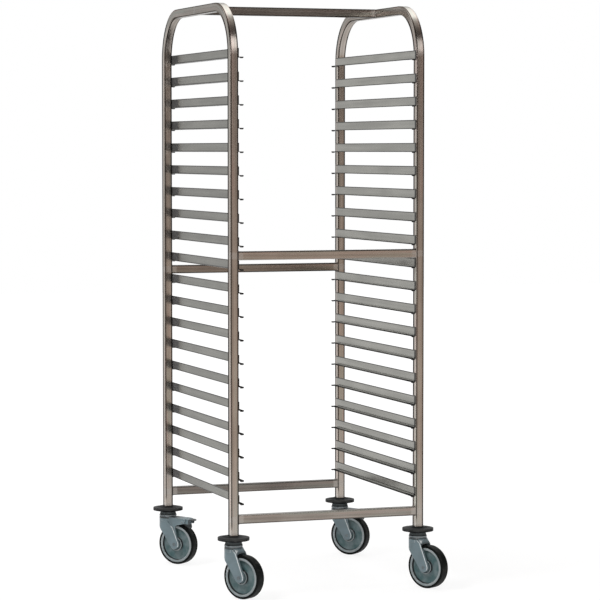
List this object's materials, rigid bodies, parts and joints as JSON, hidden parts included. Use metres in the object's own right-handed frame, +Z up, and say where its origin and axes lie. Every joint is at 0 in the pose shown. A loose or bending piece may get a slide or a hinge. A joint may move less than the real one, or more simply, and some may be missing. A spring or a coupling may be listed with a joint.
{
  "type": "gastronorm tray trolley",
  "caption": "Open stainless-steel rack trolley: bent-tube side frames joined by crossbars, folded runners that hold trays, and swivel casters with bumper discs.",
  "frame": {"origin": "on the floor, midway between the four posts", "axes": "+X to the right across the runners, +Y to the rear along the runners, +Z up"},
  "size_m": [0.6876, 0.7988, 1.695],
  "materials": {
    "tube_steel": "brushed",
    "runner_steel": "satin",
    "bumper_rubber": "matte",
    "plug_plastic": "matte",
    "head_plastic": "satin",
    "zinc_steel": "zinc plated",
    "fork_plastic": "satin",
    "core_plastic": "satin",
    "tyre_rubber": "matte"
  },
  "bodies": {
    "frame": {"side_frame_left": "tube_steel", "side_frame_right": "tube_steel", "top_crossbar": "tube_steel", "front_mid_crossbar": "tube_steel", "rear_mid_crossbar": "tube_steel", "front_low_crossbar": "tube_steel", "rear_low_crossbar": "tube_steel", "runner_pair_01": "runner_steel", "runner_pair_02": "runner_steel", "runner_pair_03": "runner_steel", "runner_pair_04": "runner_steel", "runner_pair_05": "runner_steel", "runner_pair_06": "runner_steel", "runner_pair_07": "runner_steel", "runner_pair_08": "runner_steel", "runner_pair_09": "runner_steel", "runner_pair_10": "runner_steel", "runner_pair_11": "runner_steel", "runner_pair_12": "runner_steel", "runner_pair_13": "runner_steel", "runner_pair_14": "runner_steel", "runner_pair_15": "runner_steel", "runner_pair_16": "runner_steel", "runner_pair_17": "runner_steel", "runner_pair_18": "runner_steel", "runner_pair_19": "runner_steel", "runner_pair_20": "runner_steel", "front_left_bumper": "bumper_rubber", "front_right_bumper": "bumper_rubber", "rear_left_bumper": "bumper_rubber", "rear_right_bumper": "bumper_rubber", "expander_plugs": "plug_plastic", "stem_bolts": "zinc_steel", "swivel_heads": "head_plastic", "swivel_bearings": "zinc_steel"},
    "front_left_caster": {"front_left_fork": "fork_plastic", "front_left_axle": "zinc_steel", "front_left_axle_sleeve": "zinc_steel"},
    "front_left_wheel": {"front_left_wheel_core": "core_plastic", "front_left_tyre": "tyre_rubber"},
    "front_right_caster": {"front_right_fork": "fork_plastic", "front_right_axle": "zinc_steel", "front_right_axle_sleeve": "zinc_steel"},
    "front_right_wheel": {"front_right_wheel_core": "core_plastic", "front_right_tyre": "tyre_rubber"},
    "rear_left_caster": {"rear_left_fork": "fork_plastic", "rear_left_axle": "zinc_steel", "rear_left_axle_sleeve": "zinc_steel", "rear_left_brake_pin": "zinc_steel"},
    "rear_left_wheel": {"rear_left_wheel_core": "core_plastic", "rear_left_tyre": "tyre_rubber"},
    "rear_left_brake": {"rear_left_brake_pedal": "fork_plastic"},
    "rear_right_caster": {"rear_right_fork": "fork_plastic", "rear_right_axle": "zinc_steel", "rear_right_axle_sleeve": "zinc_steel", "rear_right_brake_pin": "zinc_steel"},
    "rear_right_wheel": {"rear_right_wheel_core": "core_plastic", "rear_right_tyre": "tyre_rubber"},
    "rear_right_brake": {"rear_right_brake_pedal": "fork_plastic"}
  },
  "joints": [
    {"name": "front_left_swivel", "type": "hinge", "parent": "frame", "child": "front_left_caster", "pos_m": [-0.2825, -0.3305, 0.1445], "axis": [0, 0, 1], "continuous": true},
    {"name": "front_left_roll", "type": "hinge", "parent": "front_left_caster", "child": "front_left_wheel", "pos_m": [-0.26153, -0.36219, 0.0625], "axis": [0.8339, 0.5519, 0], "continuous": true},
    {"name": "front_right_swivel", "type": "hinge", "parent": "frame", "child": "front_right_caster", "pos_m": [0.2825, -0.3305, 0.1445], "axis": [0, 0, 1], "continuous": true},
    {"name": "front_right_roll", "type": "hinge", "parent": "front_right_caster", "child": "front_right_wheel", "pos_m": [0.30213, -0.36304, 0.0625], "axis": [0.8563, 0.5165, 0], "continuous": true},
    {"name": "rear_left_swivel", "type": "hinge", "parent": "frame", "child": "rear_left_caster", "pos_m": [-0.2825, 0.3305, 0.1445], "axis": [0, 0, 1], "continuous": true},
    {"name": "rear_left_roll", "type": "hinge", "parent": "rear_left_caster", "child": "rear_left_wheel", "pos_m": [-0.25797, 0.30148, 0.0625], "axis": [0.7638, 0.6455, 0], "continuous": true},
    {"name": "rear_left_brake_press", "type": "hinge", "parent": "rear_left_caster", "child": "rear_left_brake", "pos_m": [-0.24184, 0.28238, 0.132], "axis": [0.7638, 0.6455, 0], "range_deg": [0, 10]},
    {"name": "rear_right_swivel", "type": "hinge", "parent": "frame", "child": "rear_right_caster", "pos_m": [0.2825, 0.3305, 0.1445], "axis": [0, 0, 1], "continuous": true},
    {"name": "rear_right_roll", "type": "hinge", "parent": "rear_right_caster", "child": "rear_right_wheel", "pos_m": [0.30807, 0.30239, 0.0625], "axis": [0.7396, 0.673, 0], "continuous": true},
    {"name": "rear_right_brake_press", "type": "hinge", "parent": "rear_right_caster", "child": "rear_right_brake", "pos_m": [0.3249, 0.2839, 0.132], "axis": [0.7396, 0.673, 0], "range_deg": [0, 10]}
  ]
}
